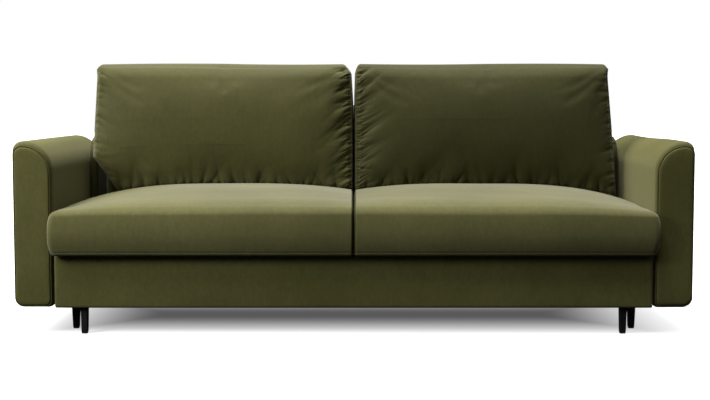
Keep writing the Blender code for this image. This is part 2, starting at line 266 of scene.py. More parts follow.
# ---------------------------------------------------------------- mesh helpers
def new_piece(name, points, faces, material, body, nodes):
    """A smooth mesh piece that rides on a body and stands for CAD nodes."""
    mesh = bpy.data.meshes.new(name)
    mesh.from_pydata([tuple(p) for p in points], [], [tuple(f) for f in faces])
    mesh.validate()
    mesh.update()
    mesh.shade_smooth()
    mesh.materials.append(material)
    piece = bpy.data.objects.new(name, mesh)
    bpy.context.scene.collection.objects.link(piece)
    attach(piece, body)
    if nodes:
        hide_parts(*nodes)
    return piece


def spaced(count, pull=0.0):
    """Parameters from 0 to 1, closer together near both ends when pull is above 0."""
    t = np.linspace(0.0, 1.0, count + 1)
    return t - pull * np.sin(2 * np.pi * t) / (2 * np.pi)


def box_lattice(xs, ys, zs):
    """Surface lattice of a box: unit coordinates of its points, and its faces."""
    counts = (len(xs), len(ys), len(zs))
    grid = np.indices(counts)
    edge = np.zeros(counts, bool)
    for axis in range(3):
        edge |= (grid[axis] == 0) | (grid[axis] == counts[axis] - 1)
    number = np.full(counts, -1)
    number[edge] = np.arange(edge.sum())
    points = np.stack(
        [xs[grid[0][edge]], ys[grid[1][edge]], zs[grid[2][edge]]], axis=1
    )
    faces = []
    for axis in range(3):
        for end in (0, -1):
            sheet = np.take(number, end, axis=axis)
            a, b = sheet[:-1, :-1].ravel(), sheet[1:, :-1].ravel()
            c, d = sheet[1:, 1:].ravel(), sheet[:-1, 1:].ravel()
            quads = np.stack([a, b, c, d], axis=1)
            outward = (end == -1) != (axis == 1)
            faces.append(quads if outward else quads[:, ::-1])
    return points, np.concatenate(faces)


def round_box(unit, low, high, radius, radius_high=None):
    """Unit coordinates to a box whose edges are rounded by a radius along each axis. The
    far ends can have radii of their own."""
    low = np.array(low, float)
    high = np.array(high, float)
    near = np.broadcast_to(np.array(radius, float), (3,))
    far = near if radius_high is None else np.array(radius_high, float)
    place = low + unit * (high - low)
    core = np.clip(place, low + near, high - far)
    out = (place - core) / np.where(place > core, far, near)
    length = np.maximum(np.linalg.norm(out, axis=1), 1e-9)
    edge = length > 1e-6
    size = np.where(place > core, far, near)
    scaled = core.copy()
    scaled[edge] += (out[edge] / length[edge, None]) * size[edge]
    return scaled


def smooth_noise(x, y, z, seed, scale):
    """Smooth wandering value in about -1 to 1, from a few sine waves."""
    rng = np.random.default_rng(seed)
    total = np.zeros_like(x)
    for _ in range(6):
        direction = rng.normal(size=3)
        direction /= np.linalg.norm(direction)
        phase = rng.uniform(0, 2 * np.pi)
        rate = scale * rng.uniform(0.6, 1.6)
        total += np.sin(rate * (x * direction[0] + y * direction[1] + z * direction[2]) + phase)
    return total / 6 ** 0.5


def creases(along, away, span, spacing, seed, reach, depth, slant=0.0, scatter=0.18):
    """Sharp valleys that run in from a gathered seam and widen and fade away from it.

    along is the place on the seam, away the distance from it. Spacing sets how far apart
    the stitches pull the cloth in; longer, deeper creases stand further apart.
    """
    rng = np.random.default_rng(seed)
    total = np.zeros_like(along)
    near = np.nonzero(away < reach * 3.0)[0]
    s, d = along[near], np.maximum(away[near], 0.0)
    place = span[0]
    while place < span[1]:
        place += spacing * rng.uniform(0.55, 1.45)
        lean = slant + rng.normal() * scatter
        length = reach * rng.uniform(0.45, 1.5)
        width = spacing * rng.uniform(0.16, 0.30)
        high = depth * rng.uniform(0.45, 1.15)
        curl = rng.uniform(-0.12, 0.12) * spacing
        line = place + lean * d + curl * np.sin(d / reach * 2.2)
        across = np.abs(s - line) / (width * (1.0 + 1.3 * d / reach))
        total[near] -= high * np.exp(-across ** 1.25) * np.exp(-(d / length) ** 1.7)
    return total


def add_boxing_with_painted_shade(piece, cloth, chosen):
    """A second cloth on the faces whose middle lies where chosen(middle) is true: a darker boxing cloth whose
    darkness is painted shade.
    """
    mesh = piece.data
    mesh.materials.append(cloth)
    middle = np.zeros(len(mesh.polygons) * 3)
    mesh.polygons.foreach_get("center", middle)
    mesh.polygons.foreach_set("material_index", chosen(middle.reshape(-1, 3)).astype(np.int32))
    mesh.update()


def evaluated_points(piece):
    """The piece's points with its modifiers applied, and the mesh that holds them."""
    mesh = piece.evaluated_get(bpy.context.evaluated_depsgraph_get()).data
    co = np.zeros(len(mesh.vertices) * 3)
    mesh.vertices.foreach_get("co", co)
    return co.reshape(-1, 3), mesh


def working_skin(points, faces):
    """A throwaway object for modifiers to work on."""
    mesh = bpy.data.meshes.new("skin")
    mesh.from_pydata(points.tolist(), [], faces.tolist())
    mesh.update()
    piece = bpy.data.objects.new("skin", mesh)
    bpy.context.scene.collection.objects.link(piece)
    return piece


def discard(piece):
    """Removes a throwaway object and its mesh."""
    mesh = piece.data
    bpy.data.objects.remove(piece)
    bpy.data.meshes.remove(mesh)


def draped(points, faces, held, loose, pressure, slack, frames, cap):
    """The closed skin after a short cloth simulation: filling pushes it out, the held
    points stay, and the loose ones have spare cloth. No point moves further than cap."""
    piece = working_skin(points, faces)
    for group, share in (("held", held), ("spare", loose)):
        weights = piece.vertex_groups.new(name=group)
        steps = np.round(np.clip(share, 0, 1) * 20) / 20
        for level in np.unique(steps):
            if level > 0:
                weights.add(np.nonzero(steps == level)[0].tolist(), float(level), "REPLACE")
    modifier = piece.modifiers.new("cloth", "CLOTH")
    cloth = modifier.settings
    cloth.quality = 5
    cloth.mass = 0.3
    cloth.tension_stiffness = 30.0
    cloth.compression_stiffness = 30.0
    cloth.shear_stiffness = 12.0
    cloth.bending_stiffness = 1.4
    cloth.tension_damping = 5.0
    cloth.compression_damping = 5.0
    cloth.shear_damping = 5.0
    cloth.bending_damping = 0.5
    cloth.air_damping = 1.0
    cloth.use_pressure = True
    cloth.uniform_pressure_force = pressure
    cloth.effector_weights.gravity = 0.0
    cloth.vertex_group_mass = "held"
    cloth.vertex_group_shrink = "spare"
    cloth.shrink_min = 0.0
    cloth.shrink_max = slack
    modifier.collision_settings.use_collision = False
    modifier.point_cache.frame_start = 1
    modifier.point_cache.frame_end = frames + 1
    scene = bpy.context.scene
    for number in range(1, frames + 1):
        scene.frame_set(number)
    moved, _ = evaluated_points(piece)
    scene.frame_set(1)
    piece.modifiers.remove(modifier)
    discard(piece)
    step = moved - points
    length = np.maximum(np.linalg.norm(step, axis=1), 1e-9)
    return points + step * (cap * np.tanh(length / cap) / length)[:, None]


def subdivided(points, faces, seam, levels, sharp=0.9):
    """Catmull-Clark points, faces and normals, with the seam edges kept sharp."""
    piece = working_skin(points, faces)
    mesh = piece.data
    ends = np.zeros(len(mesh.edges) * 2, int)
    mesh.edges.foreach_get("vertices", ends)
    ends = ends.reshape(-1, 2)
    crease = mesh.attributes.new("crease_edge", "FLOAT", "EDGE")
    crease.data.foreach_set("value", (seam[ends[:, 0]] & seam[ends[:, 1]]) * sharp)
    modifier = piece.modifiers.new("finer", "SUBSURF")
    modifier.levels = levels
    modifier.render_levels = levels
    fine, result = evaluated_points(piece)
    loops = np.zeros(len(result.loops), int)
    result.loops.foreach_get("vertex_index", loops)
    normal = np.zeros(len(result.vertices) * 3)
    result.vertex_normals.foreach_get("vector", normal)
    discard(piece)
    return fine, loops.reshape(-1, 4), normal.reshape(-1, 3)


# ---------------------------------------------------------------- arms
def round_outline(corners):
    """Points of a polygon in X and Z with (x, z, radius, steps) corners."""
    points = []
    count = len(corners)
    for index, (u, v, radius, steps) in enumerate(corners):
        here = Vector((u, v))
        back = (Vector(corners[index - 1][:2]) - here).normalized()
        ahead = (Vector(corners[(index + 1) % count][:2]) - here).normalized()
        half = back.angle(ahead) / 2
        middle = here + (back + ahead).normalized() * (radius / math.sin(half))
        start = here + back * (radius / math.tan(half)) - middle
        turn = math.copysign(math.pi - 2 * half, ahead.cross(back))
        first = math.atan2(start.y, start.x)
        for step in range(steps + 1):
            angle = first + turn * step / steps
            points.append(
                (middle.x + radius * math.cos(angle), middle.y + radius * math.sin(angle))
            )
    return np.array(points)


def resampled(points, step):
    """The same closed outline with points an even step apart."""
    closed = np.vstack([points, points[:1]])
    lengths = np.linalg.norm(np.diff(closed, axis=0), axis=1)
    place = np.concatenate([[0.0], np.cumsum(lengths)])
    count = int(place[-1] / step)
    want = np.linspace(0.0, place[-1], count, endpoint=False)
    return np.stack([np.interp(want, place, closed[:, k]) for k in (0, 1)], axis=1)


def arm_corners(side, inset, top_inset):
    low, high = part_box("arm_right_body")
    inner = side * (low.x + inset)
    outer = side * (high.x - inset)
    bottom = low.z + inset
    top = high.z - top_inset
    return [
        (inner, bottom, 0.016, 6),
        (outer, bottom, 0.036 - inset * 0.9, 14),
        (outer, top, 0.034 - inset * 0.9, 14),
        (inner, top, 0.102 - inset, 26),
    ]


def outward(outline):
    """Unit normals of a closed outline, pointing out of it."""
    ahead = np.roll(outline, -1, axis=0) - np.roll(outline, 1, axis=0)
    normal = np.stack([ahead[:, 1], -ahead[:, 0]], axis=1)
    normal /= np.linalg.norm(normal, axis=1)[:, None]
    middle = outline.mean(axis=0)
    if ((outline - middle) * normal).sum() < 0:
        normal = -normal
    return normal


def loft(rings):
    """Closed skin over rings of equal length, with a fan of triangles at each end."""
    count = len(rings[0])
    points = [p for ring in rings for p in ring]
    faces = []
    for r in range(len(rings) - 1):
        for i in range(count):
            j = (i + 1) % count
            faces.append((r * count + i, r * count + j, (r + 1) * count + j, (r + 1) * count + i))
    for ring, flip in ((0, False), (len(rings) - 1, True)):
        centre = len(points)
        points.append(np.mean(rings[ring], axis=0))
        for i in range(count):
            j = (i + 1) % count
            face = (ring * count + j, ring * count + i, centre)
            faces.append(face[::-1] if flip else face)
    return np.array(points), faces


def facing_out(points, faces):
    """The faces, turned over if the closed skin they make is inside out."""
    total = 0.0
    for face in faces:
        a, b, c = (points[face[k]] for k in (0, 1, 2))
        total += float(np.dot(a, np.cross(b, c)))
        if len(face) == 4:
            total += float(np.dot(a, np.cross(c, points[face[3]])))
    return faces if total > 0 else [tuple(face)[::-1] for face in faces]


def build_arm(name, side, cloth, cord_cloth):
    """The long cover of an arm, its two end facings and the cord round the front one."""
    low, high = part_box(f"arm_{name}_body")
    outline = resampled(round_outline(arm_corners(side, 0.0, 0.0)), 0.006)
    normal = outward(outline)
    front, rear = low.y, high.y
    rings = []
    stations = []
    turn = [(ARM_EDGE * (1 - math.cos(step / 8 * math.pi / 2)), step / 8) for step in range(9)]
    stations += [(front + away, rise) for away, rise in turn]
    middle = np.linspace(front + ARM_EDGE, rear - ARM_EDGE, 46)[1:-1]
    stations += [(y, 1.0) for y in middle]
    stations += [(rear - away, rise) for away, rise in reversed(turn)]
    for y, rise in stations:
        top = np.clip((outline[:, 1] - (high.z - 0.12)) / 0.12, 0, 1)
        shrink = (0.0085 + 0.0105 * top) * (1 - math.sin(rise * math.pi / 2))
        wave = smooth_noise(outline[:, 0], np.full(len(outline), y), outline[:, 1], 11, 9.0)
        lift = 0.0012 * wave * rise
        ring = outline - normal * shrink[:, None] + normal * lift[:, None]
        rings.append(np.stack([ring[:, 0], np.full(len(ring), y), ring[:, 1]], axis=1))
    points, faces = loft(rings)
    faces = facing_out(points, faces)
    arm = new_piece(
        f"arm_{name}_cover", points, faces, cloth, "frame", [f"arm_{name}_body"]
    )
    build_arm_facing(name, side, cloth, "front", FRONT, 1.0)
    build_arm_facing(name, side, cloth, "rear", REAR, -1.0)
    cord = resampled(round_outline(arm_corners(side, 0.0062, 0.0172)), 0.004)
    build_cord(f"arm_{name}_front_cord", cord, FRONT + 0.0072, 0.0024, cord_cloth,
               [f"arm_{name}_front_welt"])


def build_arm_facing(name, side, cloth, end, face_y, inward):
    """The flat end panel of an arm: a thin pad, pulled down to its seam."""
    base = resampled(round_outline(arm_corners(side, 0.0092, 0.0202)), 0.006)
    centre = base.mean(axis=0)
    depth = 0.0100
    rings = []
    for share, height in ((1.0, 1.0), (1.0, 0.55), (0.995, 0.34), (0.975, 0.20), (0.94, 0.10),
                          (0.86, 0.04), (0.72, 0.01), (0.50, 0.0), (0.25, 0.0)):
        flat = centre + (base - centre) * share
        wave = 0.0008 * smooth_noise(flat[:, 0], flat[:, 0] * 0, flat[:, 1], 5, 14.0)
        wave *= 0.0 if share > 0.97 else 1.0
        place = face_y + inward * (depth * height + np.abs(wave))
        rings.append(np.stack([flat[:, 0], place, flat[:, 1]], axis=1))
    points, faces = loft(rings)
    faces = facing_out(points - points.mean(axis=0), faces)
    panel = new_piece(f"arm_{name}_{end}_facing", points, faces, cloth, "frame",
                      [f"arm_{name}_{end}_panel"])


def build_cord(name, outline, y, radius, material, nodes):
    """A round tube round a closed outline."""
    count = len(outline)
    normal = outward(outline)
    rings = 10
    points = []
    for k in range(rings):
        angle = 2 * math.pi * k / rings
        away = normal * (radius * math.cos(angle))
        flat = outline + away
        place = np.full(count, y + radius * math.sin(angle))
        points.append(np.stack([flat[:, 0], place, flat[:, 1]], axis=1))
    points = np.concatenate(points)
    faces = []
    for k in range(rings):
        for i in range(count):
            j = (i + 1) % count
            m = (k + 1) % rings
            faces.append((k * count + i, k * count + j, m * count + j, m * count + i))
    faces = facing_out(points, faces)
    return new_piece(name, points, faces, material, "frame", nodes)


def build_rear_corner(name, side, cloth):
    """The rolled end of the back frame, in the corner of the arm."""
    low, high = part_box(f"rear_corner_{name}")
    unit, faces = box_lattice(spaced(8), spaced(44, 0.5), spaced(60, 0.3))
    points = round_box(unit, low, high, (0.012, 0.012, 0.012))
    reach = 0.098
    core_y, core_z = low.y + reach, high.z - reach
    y, z = points[:, 1], points[:, 2]
    corner = (y < core_y) & (z > core_z)
    dy, dz = core_y - y[corner], z[corner] - core_z
    square = np.maximum(dy, dz)
    length = np.maximum(np.hypot(dy, dz), 1e-9)
    points[corner, 1] = core_y - dy * square / length
    points[corner, 2] = core_z + dz * square / length
    piece = new_piece(f"rear_corner_{name}_cover", points, faces, cloth, "frame",
                      [f"rear_corner_{name}"])
    build_filler(name, side, low, high)


def build_filler(name, side, low, high):
    """A narrow padded strip on the corner roll that closes the gap beside the backrest."""
    inner = min(abs(low.x), abs(high.x))
    ends = sorted((side * (inner - 0.0165), side * (inner + 0.0015)))
    unit, faces = box_lattice(spaced(6), spaced(8), spaced(30, 0.4))
    points = round_box(unit, (ends[0], high.y - 0.045, 0.42), (ends[1], high.y - 0.018, 0.655),
                       0.007)
    # the filler is covered in the dark boxing cloth: painted shade in the gap beside the backrest
    piece = new_piece(f"rear_corner_{name}_filler", points, faces, boxing_velvet_with_painted_shade, "frame",
                      [])


# ---------------------------------------------------------------- panels
def soft_panel(name, node, cloth, body, radius, crown, cells, seed):
    """An upholstered board: rounded edges, a little fullness and slight unevenness."""
    low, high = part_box(node)
    unit, faces = box_lattice(*(spaced(c, 0.6) for c in cells))
    size = np.array(high) - np.array(low)
    points = round_box(unit, low, high, np.minimum(radius, size * 0.45))
    wave = smooth_noise(points[:, 0], points[:, 1], points[:, 2], seed, 7.0)
    centre = (np.array(low) + np.array(high)) / 2
    thin = int(np.argmin(size))
    side = np.sign(points[:, thin] - centre[thin])
    others = [k for k in range(3) if k != thin]
    fall = np.ones(len(points))
    for k in others:
        fall *= 1 - np.abs((points[:, k] - centre[k]) / (size[k] / 2)) ** 6
    points[:, thin] -= side * crown * (1 - fall)
    points[:, thin] -= side * crown * 0.6 * np.abs(wave) * fall
    piece = new_piece(name, points, faces, cloth, body, [node])


def leaning_panel(name, node, cloth, radius, crown, cells, seed):
    """An upholstered panel of the leaning backrest, in the place of its CAD solid."""
    data = frame["nodes"][node].data
    co = np.array([v.co for v in data.vertices], float)
    c, s = math.cos(LEAN), math.sin(LEAN)
    y, z = co[:, 1] - PIVOT_Y, co[:, 2] - PIVOT_Z
    local_y, local_z = y * c - z * s, y * s + z * c
    lo = np.array([co[:, 0].min(), local_y.min(), local_z.min()])
    hi = np.array([co[:, 0].max(), local_y.max(), local_z.max()])
    unit, faces = box_lattice(*(spaced(k, 0.6) for k in cells))
    points = round_box(unit, lo, hi, radius)
    wave = smooth_noise(points[:, 0], points[:, 1], points[:, 2], seed, 6.0)
    fall = 1 - np.abs(points[:, 0] / hi[0]) ** 8
    points[:, 1] += np.where(points[:, 1] < (lo[1] + hi[1]) / 2, 1, -1) * crown * (
        (1 - fall) + 0.5 * np.abs(wave)
    )
    y, z = points[:, 1].copy(), points[:, 2].copy()
    points[:, 1] = PIVOT_Y + y * c + z * s
    points[:, 2] = PIVOT_Z - y * s + z * c
    piece = new_piece(name, points, faces, cloth, "backrest", [node])


# ---------------------------------------------------------------- seat cushions
def seat_top(x, along):
    """Share of the crown at a place: high near the split, falling off at the arm."""
    middle = SEAT_HALF_WIDTH / 2
    across = np.clip((np.abs(x) - middle) / middle, -1, 1)
    drop = np.where(across > 0, 1.0, 0.36)
    level = 1 - drop * np.abs(across) ** np.where(across > 0, 2.6, 3.4)
    rise = np.clip(along / 0.42, 0, 1)
    fall = np.clip((1 - along) / 0.30, 0, 1)
    swell = np.sin(rise * math.pi / 2) * (0.45 + 0.55 * fall)
    return swell * level


def build_seat_cushion(name, side, cloth):
    """Crowned top that rolls over a full nose, a tight end at the split, and a stitched
    hem along the bottom of the front."""
    node = f"seat_cushion_{name}"
    low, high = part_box(node)
    bottom = low.z
    unit, faces = box_lattice(spaced(200, 0.62), spaced(140, 0.5), spaced(52, 0.5))
    x_in, x_out = side * 0.0015, side * (SEAT_HALF_WIDTH - 0.0005)
    lo = (min(x_in, x_out), low.y + 0.001, bottom)
    hi = (max(x_in, x_out), high.y, SEAT_EDGE)
    ends = (0.008, 0.020) if side > 0 else (0.020, 0.008)
    near = (ends[0], 0.021, 0.010)
    far = (ends[1], 0.034, 0.019)
    points = round_box(unit, lo, hi, near, far)
    x, y, z = points.T.copy()
    along = (y - low.y) / (high.y - low.y)
    share = (z - bottom) / (SEAT_EDGE - bottom)
    swell = seat_top(x, along)
    nose = np.exp(-((y - low.y) / 0.035) ** 2)
    height = z + np.clip(share, 0, 1) ** 1.3 * SEAT_CROWN * swell
    middle = SEAT_HALF_WIDTH / 2
    fall_off = np.clip((np.abs(x) - middle) / middle, 0, 1) ** 3
    lift = 0.014 * np.clip(share, 0, 1) * (1 - 0.8 * fall_off)
    height += lift * np.exp(-((y - (low.y + 0.05)) / 0.08) ** 2)
    bulge = np.where(share > 0.475, 0.008, 0.016) * (2 * share - 0.95) ** 2 * nose
    hem = np.exp(-((z - bottom - 0.013) / 0.0022) ** 2) * (y < low.y + 0.05)
    bulge += 0.0022 * hem
    widen = 0.0175 * np.exp(-((np.abs(x) - SEAT_HALF_WIDTH) / 0.03) ** 2)
    widen *= 1 / (1 + np.exp((y - (FRONT - 0.016)) / 0.0035))
    widen *= np.sin(np.clip(share, 0, 1) * math.pi) ** 0.6
    wave = smooth_noise(x, y, z, 21 + int(side), 8.0)
    ripple = smooth_noise(x * 0.5, y * 2.2, z, 25 + int(side), 30.0)
    on_top = np.clip((share - 0.6) / 0.3, 0, 1)
    points[:, 0] = x + np.sign(x) * widen
    points[:, 1] = y + bulge
    points[:, 2] = height + (0.0016 * wave + 0.0005 * ripple) * on_top
    piece = new_piece(node + "_cover", points, faces, cloth, "seat_carriage", [node])
    # dark boxing cloth at the split and the outer ends: painted shade in the gaps
    add_boxing_with_painted_shade(piece, boxing_velvet_with_painted_shade, lambda m: (np.abs(m[:, 0]) < 0.0075)
               | (np.abs(m[:, 0]) > SEAT_HALF_WIDTH + 0.013))


# ---------------------------------------------------------------- loose back cushions
def stitch_row(path, normal, pitch, length, radius):
    """Short spindles of thread along a path, each lying on the cloth."""
    steps = np.linalg.norm(np.diff(path, axis=0), axis=1)
    place = np.concatenate([[0.0], np.cumsum(steps)])
    points, faces = [], []
    for start in np.arange(pitch, place[-1] - pitch, pitch):
        ends = [np.array([np.interp(start + k, place, path[:, i]) for i in range(3)])
                for k in (0.0, length)]
        out = np.array([np.interp(start, place, normal[:, i]) for i in range(3)])
        out /= np.linalg.norm(out)
        ahead = (ends[1] - ends[0]) / np.linalg.norm(ends[1] - ends[0])
        wide = np.cross(out, ahead)
        for share, size in ((0.0, 0.35), (0.25, 1.0), (0.75, 1.0), (1.0, 0.35)):
            centre = ends[0] + (ends[1] - ends[0]) * share + out * radius * (0.4 + 0.6 * size)
            for k in range(6):
                angle = k * math.pi / 3
                points.append(
                    centre + (wide * math.cos(angle) + out * math.sin(angle)) * radius * size
                )
        base = len(points) - 24
        for ring in range(3):
            for k in range(6):
                a, b = base + ring * 6 + k, base + ring * 6 + (k + 1) % 6
                faces.append((a, b, b + 6, a + 6))
        faces.append(tuple(range(base + 5, base - 1, -1)))
        faces.append(tuple(range(base + 18, base + 24)))
    return points, faces


def seam_path(place, fine, normal, offset, levels):
    """Cloth points that run up the front face a little way in from a side seam."""
    path, out = [], []
    front = np.nonzero((place[:, 1] < 0.004) & (np.abs(place[:, 0] - offset) < 0.012))[0]
    for level in levels:
        gap = np.hypot(place[front, 0] - offset, place[front, 2] - level)
        nearest = front[np.argsort(gap)[:4]]
        weight = 1 / (np.sort(gap)[:4] + 1e-4)
        weight /= weight.sum()
        path.append((fine[nearest] * weight[:, None]).sum(axis=0))
        out.append((normal[nearest] * weight[:, None]).sum(axis=0))
    return np.array(path), np.array(out)


def build_stitches(name, node, place, fine, normal):
    """The visible top-stitching beside both side seams of a back cushion."""
    points, faces = [], []
    levels = np.linspace(0.03, 0.965, 90)
    for offset in (0.0085, 1 - 0.0085):
        path, out = seam_path(place, fine, normal, offset, levels)
        row, sides = stitch_row(path, out, 0.0088, 0.0056, 0.0008)
        faces += [tuple(i + len(points) for i in face) for face in sides]
        points += row
    new_piece(f"back_cushion_{name}_stitches", points, faces, thread_cloth, node, [])


def seat_height(x, y):
    """Height of the seat cushions' top at a place."""
    low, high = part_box("seat_cushion_left")
    along = (y - low.y) / (high.y - low.y)
    return SEAT_EDGE + SEAT_CROWN * seat_top(x, along)


def build_back_cushion(name, side, cloth, shape):
    """A loose cushion: side panels stitched to a full, gathered front that folds over the
    top. The bottom lies on the seat and the rear against the backrest."""
    node = f"back_cushion_{name}"
    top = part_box(node)[1].z
    base = SEAT_EDGE
    unit, faces = box_lattice(spaced(84, 0.35), spaced(9), spaced(60, 0.25))
    points = round_box(unit, (0.0, -BACK_DEPTH, 0.0), (1.0, 0.0, top - base),
                       (0.004, 0.060, 0.010), (0.004, 0.040, 0.062))
    share = points[:, 2] / (top - base)
    inner = np.interp(share, (0.0, 0.70, 0.93, 1.0), shape["inner"])
    outer = np.interp(share, (0.0, 0.30, 0.93, 1.0), shape["outer"])
    seam = 0.0125
    x = side * (inner + seam + points[:, 0] * (outer - inner - 2 * seam))
    depth = -points[:, 1]
    across = 2 * points[:, 0] - 1
    fullness = (1 - np.abs(across) ** 4) * np.sin(np.clip(share, 0, 1) * math.pi) ** 0.55
    front = np.clip(depth / BACK_DEPTH, 0, 1) ** 2
    depth = depth + 0.040 * fullness * front
    ends = np.abs(across) ** 14
    boxing = np.sin(np.clip(depth / BACK_DEPTH, 0, 1) * math.pi) ** 0.5
    x = x + side * np.sign(across) * seam * boxing * ends
    y = BACK_FOOT - depth
    floor = seat_height(x, y + (base + 0.05 - PIVOT_Z) * BACK_LEAN) + 0.003
    lift = 0.0022 * np.sin(7.0 * x + shape["wave"]) * np.clip(share, 0, 1)
    z = floor + share * (top - floor - 0.003) + lift
    points = np.stack([x, y + (z - PIVOT_Z) * BACK_LEAN, z], axis=1)
    if side < 0:
        faces = faces[:, ::-1]

    ux, uy, uz = unit.T
    side_seam = ((ux == 0) | (ux == 1)) & (uy == 0)
    bottom_seam = (uz == 0) & (uy == 0)
    fixed = side_seam | (uz == 0) | (uy == 1) | (ux == 0)
    foot = np.clip(1 - (uz - 0.035) / 0.10, 0, 1) ** 1.5
    held = np.maximum(fixed, foot)
    width = 0.99
    seam_side = np.minimum(ux, 1 - ux) * width
    near_top = np.exp(-(1 - uz) / 0.18)
    loose = (0.20 + 0.8 * np.exp(-seam_side / 0.08)) * (1 - 0.85 * near_top) * (uy == 0)
    loose = np.maximum(loose, 0.35 * (uy > 0))
    smooth = np.exp(-((1 - uz) / 0.32) ** 2) * (0.50 + 0.35 * np.exp(-(seam_side / 0.24) ** 2))
    filled = draped(points, faces, held, loose, 1.4, -0.040, 16, 0.030)
    points = points + (filled - points) * (1 - smooth)[:, None]
    seams = side_seam | bottom_seam | (((ux == 0) | (ux == 1)) & (uy == 1))
    fine, fine_faces, normal = subdivided(points, faces, seams, 2)
    place, _, _ = subdivided(unit, faces, seams, 2, 1.0)

    ux, uy, uz = place.T
    x, y, z = fine.T
    on_front = np.clip(1 - uy * 9, 0, 1) ** 0.5
    inner_away = ux * width
    outer_away = (1 - ux) * width
    up = uz * (top - base)
    seed = 100 + int(50 * side)
    slant = shape["slant"]
    span = (base + 0.02, top - 0.012)
    fold = creases(z, inner_away, span, 0.0120, seed, 0.028, 0.0075, slant * 0.7)
    fold += creases(z, inner_away, span, 0.026, seed + 1, 0.058, 0.0095, slant)
    fold += creases(z, inner_away, span, 0.060, seed + 2, 0.085, 0.0060, slant * 1.2)
    fold += creases(z, outer_away, span, 0.0150, seed + 3, 0.018, 0.0026, -0.2)
    fold += creases(z, outer_away, span, 0.038, seed + 4, 0.050, 0.0044, -0.3)
    foot = (0.02, 1.0)
    tuck = creases(np.abs(x), up, foot, 0.0170, seed + 5, 0.026, 0.0055)
    tuck += creases(np.abs(x), up, foot, 0.0400, seed + 6, 0.058, 0.0140, 0.0, 0.32)
    tuck += creases(np.abs(x), up, foot, 0.0950, seed + 7, 0.095, 0.0120, 0.0, 0.40)
    tuck = 0.004 + np.maximum(tuck, -0.026)
    nearest = np.minimum(inner_away, outer_away)
    groove = -0.0022 * np.exp(-(nearest / 0.004) ** 2)
    wave = smooth_noise(x, y, z, seed + 9, 7.0) * 0.0022
    sides = (1 - on_front) * np.exp(-(nearest / 0.01) ** 2)
    ruffle = creases(z, uy * 0.13, span, 0.013, seed + 11, 0.030, 0.0022) * sides
    calm = on_front * (1 - np.exp(-(nearest / 0.0035) ** 2))
    fine = fine + normal * ((fold + wave) * calm + groove + ruffle)[:, None]
    fine[:, 1] -= tuck * calm
    ear = np.exp(-((1 - uz) / 0.055) ** 2 - (outer_away / 0.022) ** 2 - (uy / 0.25) ** 2)
    fine[:, 2] += 0.007 * ear
    fine[:, 0] += side * 0.005 * ear
    fine[:, 0] = side * np.maximum(side * fine[:, 0], 0.0012)
    fine[:, 2] = np.maximum(fine[:, 2], seat_height(fine[:, 0], fine[:, 1]) + 0.0015)
    rear = BACK_FOOT + (fine[:, 2] - PIVOT_Z) * BACK_LEAN
    fine[:, 1] = np.minimum(fine[:, 1], rear + 0.001)
    piece = new_piece(node + "_cover", fine, fine_faces, cloth, node, [node])
    # dark boxing cloth at the inner end: painted shade in the gap between the cushions
    add_boxing_with_painted_shade(piece, boxing_velvet_with_painted_shade, lambda m: np.abs(m[:, 0]) < 0.0060)
    build_stitches(name, node, place, fine, normal)


# ---------------------------------------------------------------- assemble
# One olive velvet in copies by part, whose light factors differ as painted light and shade: the arm, back cushion
# and two darkest copies are darkened to stand in for shade
arm_cloth = velvet("velvet_arm", 0.82, 0.17, (0.96, 0.93, 0.55))
seat_cloth = velvet("velvet_seat_pile", 0.90, 0.41, (0.96, 0.93, 0.84))
# painted shade: the back cushions' copy is darker than the seat's, standing in for the shade on their upright
# faces
back_velvet_painted_shade = velvet("velvet_back_pile", 0.68, 0.30)
# painted shade: a much darker copy of the velvet for the right back cushion, the rear corner rolls and the
# backrest pad, standing in for the fall-off of light and the deep shade there
painted_deep_shade_velvet = velvet("velvet_back_pile_painted_deep_shade", 0.45, 0.17)
panel_cloth = velvet("velvet_panel", 0.88, 0.25)
# boxing with painted shade: a low-sheen copy, darkened to stand in for the shade in the gaps between cushions and
# at their ends
boxing_velvet_with_painted_shade = velvet("velvet_boxing_painted_shade", 0.40, 0.03)
cord_cloth = piping_cloth("piping_cord")
thread_cloth = thread("olive_thread")
MATERIALS = {
    "pine": wood("pine_board", (0.60, 0.42, 0.23), (0.42, 0.26, 0.12)),
    "birch": wood("birch_slat", (0.68, 0.52, 0.33), (0.52, 0.36, 0.20)),
    "black_metal": metal("black_powder_coat", (0.016, 0.016, 0.017), 0.3, 0.42),
    "zinc": metal("zinc_plate", (0.60, 0.61, 0.62), 1.0, 0.34),
    "felt": fibre_board("grey_felt", (0.050, 0.050, 0.052), (0.018, 0.018, 0.019)),
    "backing": fibre_board("dark_hardboard", (0.050, 0.044, 0.036), (0.020, 0.018, 0.015)),
    "velvet_frame": panel_cloth,
    "velvet_seat": seat_cloth,
    "velvet_back": back_velvet_painted_shade,
    "piping": cord_cloth,
}
SLOT_OF = {s["node"]: s["material_slot"] for s in frame["record"]["subparts"]}
for node, item in frame["nodes"].items():
    material = MATERIALS[SLOT_OF[node]]
    if item.data.materials:
        for index in range(len(item.data.materials)):
            item.data.materials[index] = material
    else:
        item.data.materials.append(material)

